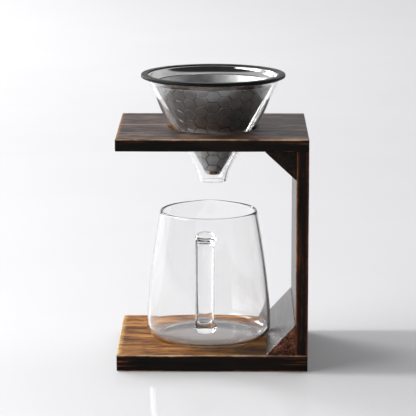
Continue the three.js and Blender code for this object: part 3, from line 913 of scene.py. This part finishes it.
def glass_dripper():
    low, high = corners_of("glass_dripper")
    centre_x = (low.x + high.x) / 2
    outside = catmull_rom(DRIPPER_OUTLINE, 60)
    inside = offset(outside, DRIPPER_WALL)[::-1]
    profile = outside + round_edge(outside[-1], inside[0]) + inside + round_edge(inside[-1], outside[0])
    mesh = turned("glass_dripper", profile, centre_x, 224)
    add_object("dripper_glass", mesh, MATERIALS["glass"], "dripper", "clear_glass", "glass_dripper")


# ---------------------------------------------------------------- filter

FILTER_HALF_ANGLE = math.radians(30)
HEX_ACROSS_FLATS = 11.9
HEX_GROOVE = 0.55
HEX_GROOVE_DEPTH = 0.34
HEX_SHIFT = 5.0
HEX_TURN = math.radians(8)
FILTER_SEAM = math.radians(106)


def filter_centre():
    low, high = corners_of("filter_rim_ring")
    return (low.x + high.x) / 2


def cone_apex(node):
    """Height in mm of the apex of a filter layer's outside."""
    low, high = corners_of(node)
    radius = (high.x - low.x) / 2
    return high.z - radius / math.tan(FILTER_HALF_ANGLE)


def hexagon_sheet(reach):
    """The flat etched sheet: hexagons with a groove between them, as 2-D points, the groove's depth
    at each point, and faces. It covers a disc of the given radius."""
    side = HEX_ACROSS_FLATS / math.sqrt(3)
    points, depths, faces, lookup = [], [], [], {}

    def point(u, v, depth):
        key = (round(u * 500), round(v * 500), depth > 0)
        if key not in lookup:
            lookup[key] = len(points)
            points.append((u, v))
            depths.append(depth)
        return lookup[key]

    fine = 5
    columns = int(reach / (1.5 * side)) + 2
    rows = int(reach / HEX_ACROSS_FLATS) + 2
    for column in range(-columns, columns + 1):
        for row in range(-rows, rows + 1):
            cu = column * 1.5 * side
            cv = (row + 0.5 * (column % 2)) * HEX_ACROSS_FLATS - HEX_SHIFT
            if math.hypot(cu, cv) > reach + 2 * side:
                continue
            inner = side - HEX_GROOVE / math.cos(math.pi / 6)
            lip = side - 0.45 * HEX_GROOVE / math.cos(math.pi / 6)
            for k in range(6):
                a0, a1 = math.pi / 3 * k, math.pi / 3 * (k + 1)
                d0 = (math.cos(a0), math.sin(a0))
                d1 = (math.cos(a1), math.sin(a1))

                def spot(radius, share, depth):
                    u = cu + radius * (d0[0] * (1 - share) + d1[0] * share)
                    v = cv + radius * (d0[1] * (1 - share) + d1[1] * share)
                    return point(u, v, depth)

                rings = [inner * (i + 1) / fine for i in range(fine)]
                for i in range(fine):
                    low_r = inner * i / fine
                    for j in range(i + 1):
                        first = spot(rings[i], j / (i + 1), 0)
                        second = spot(rings[i], (j + 1) / (i + 1), 0)
                        below = spot(low_r, j / i if i else 0, 0)
                        faces.append((below, first, second))
                        if j < i:
                            beside = spot(low_r, (j + 1) / i, 0)
                            faces.append((below, second, beside))
                for (r_in, d_in), (r_out, d_out) in (((inner, 0), (lip, 1)), ((lip, 1), (side, 1))):
                    for j in range(fine):
                        faces.append((
                            spot(r_in, j / fine, d_in), spot(r_out, j / fine, d_out),
                            spot(r_out, (j + 1) / fine, d_out), spot(r_in, (j + 1) / fine, d_in),
                        ))
    return points, depths, faces


def cone_layer_attributes(mesh, centre_x, apex):
    """Where each point lies on the flattened cone, for the rows of holes."""
    def sheet_angle(p):
        return math.atan2(p.y, p.x - centre_x) * math.sin(FILTER_HALF_ANGLE)

    def slant(p):
        return (p.z - apex) / math.cos(FILTER_HALF_ANGLE)

    paint(mesh, "around", lambda p: slant(p) * math.sin(sheet_angle(p)))
    paint(mesh, "slant", lambda p: slant(p) * math.cos(sheet_angle(p)))


def outer_mesh():
    """The etched outer layer: a flat sheet of hexagons rolled into a cone and seamed."""
    low, high = corners_of("filter_outer_mesh")
    centre_x = filter_centre()
    apex = cone_apex("filter_outer_mesh")
    reach = (high.z - apex) / math.cos(FILTER_HALF_ANGLE)
    points, depths, faces = hexagon_sheet(reach + 6)

    bm = bmesh.new()
    depth_layer = bm.verts.layers.float.new("groove")
    verts = []
    for (u, v), depth in zip(points, depths):
        cos_t, sin_t = math.cos(HEX_TURN), math.sin(HEX_TURN)
        vert = bm.verts.new((u * cos_t - v * sin_t, u * sin_t + v * cos_t, 0))
        vert[depth_layer] = depth
        verts.append(vert)
    for face in faces:
        corners = [verts[i] for i in dict.fromkeys(face)]
        if len(corners) > 2:
            try:
                bm.faces.new(corners)
            except ValueError:
                continue
    # The cone unrolls into a half disc: keep the half below the seam line through the apex.
    geometry = bm.verts[:] + bm.edges[:] + bm.faces[:]
    bmesh.ops.bisect_plane(bm, geom=geometry, plane_co=(0, 0, 0), plane_no=(0, 1, 0), clear_outer=True)
    near_apex = [v for v in bm.verts if math.hypot(v.co.x, v.co.y) < 5]
    bmesh.ops.delete(bm, geom=near_apex, context="VERTS")

    slope_sin, slope_cos = math.sin(FILTER_HALF_ANGLE), math.cos(FILTER_HALF_ANGLE)
    for vert in bm.verts:
        slant = math.hypot(vert.co.x, vert.co.y)
        angle = math.atan2(-vert.co.y, vert.co.x)
        angle = min(max(angle, 0.0), math.pi)
        turn = angle / slope_sin + FILTER_SEAM
        radius = slant * slope_sin - HEX_GROOVE_DEPTH * vert[depth_layer] * slope_cos
        z = apex + slant * slope_cos + HEX_GROOVE_DEPTH * vert[depth_layer] * slope_sin
        vert.co = Vector((centre_x + radius * math.cos(turn), radius * math.sin(turn), z)) * MM
    bmesh.ops.remove_doubles(bm, verts=bm.verts[:], dist=0.02 * MM)
    for z, side in ((high.z, 1), (low.z, -1)):
        geometry = bm.verts[:] + bm.edges[:] + bm.faces[:]
        bmesh.ops.bisect_plane(
            bm, geom=geometry, plane_co=(0, 0, z * MM), plane_no=(0, 0, side), clear_outer=True,
        )
    bmesh.ops.recalc_face_normals(bm, faces=bm.faces[:])
    centre = Vector((centre_x, 0, 0)) * MM
    sample = max(bm.faces, key=lambda f: f.calc_area())
    outward = sample.calc_center_median() - centre
    outward.z = 0
    if sample.normal.dot(outward) < 0:
        bmesh.ops.reverse_faces(bm, faces=bm.faces[:])
    mesh = bpy.data.meshes.new("filter_outer_mesh")
    bm.to_mesh(mesh)
    bm.free()
    mesh.shade_smooth()
    cone_layer_attributes(mesh, centre_x, apex)
    piece = add_object(
        "filter_outer_sheet", mesh, MATERIALS["etched"], "filter", "etched_steel", "filter_outer_mesh",
    )
    shell = piece.modifiers.new("thickness", "SOLIDIFY")
    shell.thickness = 0.3 * MM
    shell.offset = -1
    sharpen(mesh, 45)


def inner_mesh():
    low, high = corners_of("filter_inner_mesh")
    centre_x = filter_centre()
    apex = cone_apex("filter_inner_mesh")
    slope = math.tan(FILTER_HALF_ANGLE)
    wall = 0.4
    steps = 60
    heights = [low.z + (high.z - low.z) * i / steps for i in range(steps + 1)]
    outside = [((z - apex) * slope, z) for z in heights]
    inside = [(r - wall, z) for r, z in reversed(outside)]
    mesh = turned("filter_inner_mesh", outside + inside, centre_x, 224)
    sharpen(mesh, 45)
    cone_layer_attributes(mesh, centre_x, apex)
    add_object(
        "filter_inner_sheet", mesh, MATERIALS["fine"], "filter", "fine_mesh_steel", "filter_inner_mesh",
    )


def filter_collar():
    low, high = corners_of("filter_collar")
    centre_x = filter_centre()
    flange = (high.x - low.x) / 2
    wall = 0.6
    flange_z = high.z - wall
    band_top = flange - 4.9
    foot = 53.4
    foot_inner = foot - 1.8
    profile = [
        (foot_inner, low.z), (foot, low.z), (foot + 1.5, low.z + 1.4),
        *arc((band_top + 0.7, flange_z - 0.7), 0.7, 180, 90, 5),
        (flange, flange_z), (flange, high.z),
        *arc((band_top + 0.7, flange_z - 0.7), 1.3, 90, 180, 6),
        (foot + 0.9, low.z + 1.8), (foot_inner, low.z + wall),
    ]
    mesh = turned("filter_collar", profile, centre_x, 224)
    sharpen(mesh, 40)
    add_object(
        "filter_collar_band", mesh, MATERIALS["polished"], "filter", "polished_steel", "filter_collar",
    )


def rim_ring():
    low, high = corners_of("filter_rim_ring")
    centre_x = filter_centre()
    outer = (high.x - low.x) / 2
    inner = outer - 6.2
    groove_low, groove_high = low.z + 1.1, low.z + 2.3
    groove_end = outer - 2.1
    soft = 0.95
    lip = 0.5
    profile = [
        *arc((outer - soft, low.z + soft), soft, -90, 0, 8),
        *arc((outer - soft, high.z - soft), soft, 0, 90, 8),
        *arc((inner + lip, high.z - lip), lip, 90, 180, 6),
        (inner, groove_high), (groove_end, groove_high), (groove_end, groove_low), (inner, groove_low),
        *arc((inner + lip, low.z + lip), lip, 180, 270, 6),
    ]
    mesh = turned("filter_rim_ring", profile, centre_x, 224)
    sharpen(mesh, 50)
    add_object(
        "filter_rim_ring_soft", mesh, MATERIALS["silicone"], "filter", "black_silicone", "filter_rim_ring",
    )


def base_cup():
    low, high = corners_of("filter_base_cup")
    centre_x = filter_centre()
    rim = (high.x - low.x) / 2
    slope = math.tan(FILTER_HALF_ANGLE)
    wall = 0.5
    floor = rim - (high.z - low.z) * slope
    profile = [
        (0, low.z), (floor - 1.2, low.z),
        *arc((floor - 1.2, low.z + 1.2), 1.2, -90, -30, 5),
        (rim - wall * 0.5, high.z - 0.3),
        *arc((rim - wall / 2, high.z - wall / 2), wall / 2, 0, 180, 6),
        (floor - 0.6, low.z + wall + 0.4), (floor - 1.4, low.z + wall), (0, low.z + wall),
    ]
    mesh = turned("filter_base_cup", profile, centre_x, 96, closed=False)
    sharpen(mesh, 40)
    add_object(
        "filter_base_dish", mesh, MATERIALS["polished"], "filter", "polished_steel", "filter_base_cup",
    )


# ---------------------------------------------------------------- carafe

CARAFE_HEIGHT = 116.0
CARAFE_WALL = 2.2
CARAFE_FLOOR = 1.3
CARAFE_CORNER = 10.5
HEEL_RISE = 0.12
HEEL_END = 6.0
CARAFE_TAPER = 12.6
CARAFE_TURN = math.radians(-2.2)
LIP_REACH = 4.5
LIP_HALF_ANGLE = 0.27
HANDLE_OUT = 73.8
HANDLE_TOP = 120.0
HANDLE_FOOT = 35.5
HANDLE_BEND = 12.0
HANDLE_SECTION = (16.5, 8.4)
HANDLE_WALL_TOP = 43.6      # how far out the handle's ends start, inside the glass wall
HANDLE_WALL_FOOT = 54.8


def carafe_profile(bottom, height, belly):
    """The carafe's closed outline in mm: outside from the axis to the rim and back inside."""
    top = bottom + height - CARAFE_WALL / 2
    outside = [(0, bottom + 1.2), (18, bottom + 1.15), (34, bottom + 1.0), (40, bottom + 0.55)]
    outside += arc((belly - CARAFE_CORNER, bottom + CARAFE_CORNER), CARAFE_CORNER, -90, 0, 16)
    steps = 48
    for i in range(1, steps + 1):
        z = bottom + CARAFE_CORNER + (top - bottom - CARAFE_CORNER) * i / steps
        rise = max(z - bottom - 13, 0) / (height - 13)
        outside.append((belly - CARAFE_TAPER * rise ** 1.5, z))
    floor = bottom + 1 + CARAFE_FLOOR
    inside = offset(outside[4:], CARAFE_WALL)[::-1]
    inner_wall = [(r, z) for r, z in inside if z > floor + HEEL_RISE]
    heel = []
    last = inner_wall[-1]
    for i in range(1, 9):
        t = i / 8
        heel.append((last[0] - HEEL_END * t, floor + (last[1] - floor) * (1 - t) ** 2))
    return outside + round_edge(outside[-1], inside[0]) + inner_wall + heel + [(0, floor)]


def pull_lip(mesh, rim_z):
    """Draws the rim out into a pouring lip at the back."""
    for vert in mesh.vertices:
        x, y, z = vert.co / MM
        radius = math.hypot(x, y)
        if radius < 1:
            continue
        share = min(max((z - (rim_z - 22)) / 26, 0), 1)
        height = share * share * (3 - 2 * share)
        turn = math.atan2(x, y) / LIP_HALF_ANGLE
        grow = 1 + LIP_REACH * height * math.exp(-turn * turn) / radius
        vert.co.x *= grow
        vert.co.y *= grow


def handle_path(wall_top, wall_foot):
    """Centre line of the handle as (distance out, height) in mm, from wall to wall."""
    bend = HANDLE_BEND

    def curve(a, b, c, steps):
        points = []
        for i in range(1, steps + 1):
            t = i / steps
            points.append(tuple(
                p * (1 - t) ** 2 + 2 * q * t * (1 - t) + r * t * t for p, q, r in zip(a, b, c)
            ))
        return points

    def straight(a, b, steps):
        return [tuple(p + (q - p) * i / steps for p, q in zip(a, b)) for i in range(1, steps + 1)]

    start = (wall_top, HANDLE_TOP - 6.0)
    crest = (HANDLE_OUT - bend, HANDLE_TOP - 0.6)
    bend_end = (HANDLE_OUT, HANDLE_TOP - bend)
    foot_start = (HANDLE_OUT, HANDLE_FOOT + bend + 6)
    foot_end = (HANDLE_OUT - bend - 1, HANDLE_FOOT)
    path = [start]
    path += curve(start, (wall_top + 8, HANDLE_TOP - 3.0), crest, 14)
    path += curve(crest, (HANDLE_OUT, HANDLE_TOP + 1.0), bend_end, 16)
    path += straight(bend_end, foot_start, 24)
    path += curve(foot_start, (HANDLE_OUT, HANDLE_FOOT), foot_end, 18)
    path += straight(foot_end, (wall_foot, HANDLE_FOOT), 8)
    return path


def carafe_handle(wall_top, wall_foot):
    """The glass strap, which flares where it is fused to the wall."""
    path = handle_path(wall_top, wall_foot)
    lengths = [0.0]
    for a, b in zip(path, path[1:]):
        lengths.append(lengths[-1] + math.dist(a, b))
    segments = 40
    vertices = []
    for i, (out, z) in enumerate(path):
        a, b = path[max(i - 1, 0)], path[min(i + 1, len(path) - 1)]
        size = math.dist(a, b)
        across = (-(b[1] - a[1]) / size, (b[0] - a[0]) / size)
        from_end = min(lengths[i], lengths[-1] - lengths[i])
        flare = 1 + 0.22 * math.exp(-(from_end / 4.2) ** 2)
        for k in range(segments):
            angle = 2 * math.pi * k / segments
            side = HANDLE_SECTION[0] / 2 * math.cos(angle) * flare
            thick = HANDLE_SECTION[1] / 2 * math.sin(angle) * flare
            spot = (side, -(out + across[0] * thick), z + across[1] * thick)
            vertices.append(Vector(spot) * MM)
    mesh = mesh_from("handle", vertices, tube_faces(len(path), segments))
    face_outward(mesh)
    return mesh


def carafe():
    """Body and handle are fused glass, so they are one piece of glass here."""
    low, high = corners_of("carafe_body")
    centre_x = (low.x + high.x) / 2
    belly = (high.x - low.x) / 2
    profile = carafe_profile(low.z, CARAFE_HEIGHT, belly)
    body = turned("carafe", profile, 0, 224, closed=False)
    pull_lip(body, low.z + CARAFE_HEIGHT)
    handle = carafe_handle(HANDLE_WALL_TOP, HANDLE_WALL_FOOT)
    mesh = boolean("carafe", body, handle, "UNION")
    mesh.transform(Matrix.Translation((centre_x * MM, 0, 0)) @ Matrix.Rotation(CARAFE_TURN, 4, "Z"))
    sharpen(mesh, 60)
    add_object(
        "carafe_glass", mesh, MATERIALS["glass"], "carafe", "clear_glass", "carafe_body", "carafe_handle",
    )


# ---------------------------------------------------------------- studio

BACKDROP_LEFT = 0.94
BACKDROP_RIGHT = 0.87
BACKDROP_TOP = 0.72
BACKDROP_POWER = 92
ROOM_GLOW = 0.52
ROOM_DARK = 0.04
KEY_POWER = 17
EDGE_POWER = 47
KEY_AWAY = 1.60
KEY_RISE = math.radians(28)
KEY_FORWARD = math.radians(16)


def make_floor():
    mesh = mesh_from("floor", [(-9, -9, 0), (9, -9, 0), (9, 9, 0), (-9, 9, 0)], [(0, 1, 2, 3)], False)
    mesh.materials.append(pale_floor())
    floor = bpy.data.objects.new("floor", mesh)
    bpy.context.scene.collection.objects.link(floor)


def softbox(name, place, target, size, power):
    data = bpy.data.lights.new(name, "AREA")
    data.shape = "RECTANGLE"
    data.size, data.size_y = size
    data.energy = power
    light = bpy.data.objects.new(name, data)
    light.location = place
    light.rotation_euler = (Vector(target) - Vector(place)).to_track_quat("-Z", "Y").to_euler()
    bpy.context.scene.collection.objects.link(light)


def make_world():
    """A studio in the round: a pale backdrop behind, brighter on the left, and a dark room in front."""
    world = bpy.data.worlds.new("studio")
    bpy.context.scene.world = world
    g = Graph(world, "ShaderNodeOutputWorld")
    direction = g.node("ShaderNodeTexCoord").outputs["Generated"]
    x, y, z = g.split(direction)
    behind = g.smooth(y, -0.06, 0.22)
    across = g.smooth(x, -0.95, 0.95, BACKDROP_LEFT, BACKDROP_RIGHT)
    fade = g.smooth(z, 0.20, 0.95, 1.0, BACKDROP_TOP)
    lit = g.times(g.times(across, fade), behind)
    glow = g.smooth(z, 0.02, 0.30, ROOM_GLOW, ROOM_DARK)
    strength = g.plus(lit, g.times(glow, g.minus(1.0, behind)))
    background = g.node("ShaderNodeBackground", {"Color": (0.985, 0.985, 1.0), "Strength": strength})
    g.tree.links.new(background.outputs[0], g.output.inputs[0])


def make_studio():
    make_floor()
    make_world()
    key = KEY_AWAY * Vector((
        -math.cos(KEY_RISE) * math.cos(KEY_FORWARD), -math.cos(KEY_RISE) * math.sin(KEY_FORWARD),
        math.sin(KEY_RISE),
    ))
    softbox("key_left", key, (0, 0, 0.08), (1.45, 0.8), KEY_POWER)
    softbox("edge_left", (-2.6, 0.0, 1.42), (0, 0, 0.05), (0.3, 0.3), EDGE_POWER)
    softbox("backdrop_left", (-2.3, 2.6, 1.3), (0.4, 2.8, 0), (2.4, 1.0), BACKDROP_POWER)
    bpy.context.scene.view_settings.view_transform = "Standard"
    bpy.context.scene.view_settings.look = "None"


# ---------------------------------------------------------------- making

make_camera()
MATERIALS = {
    "dowel": plain_wood("dowel_wood", 2),
    "zinc": zinc_steel(),
    "glass": clear_glass("clear_glass", (1.0, 1.0, 1.0)),
    "silicone": black_silicone(),
    "polished": polished_steel(),
    "etched": perforated_steel("etched_steel", 0.9, (0.40, 0.40, 0.40), (0.58, 0.58, 0.58), 0.62),
    "fine": perforated_steel("fine_mesh_steel", 0.5, (0.62, 0.62, 0.61), (0.78, 0.78, 0.77), 0.70),
}
base_board()
shelf_board()
upright_board()
corner_block("lower_corner_block", 1, 11.0)
corner_block("upper_corner_block", -1, 15.0)
for row in ("front", "middle", "rear"):
    fluted_dowel(f"shelf_dowel_{row}")
    wood_screw(f"base_screw_{row}")
glass_dripper()
rim_ring()
filter_collar()
outer_mesh()
inner_mesh()
base_cup()
carafe()
make_studio()
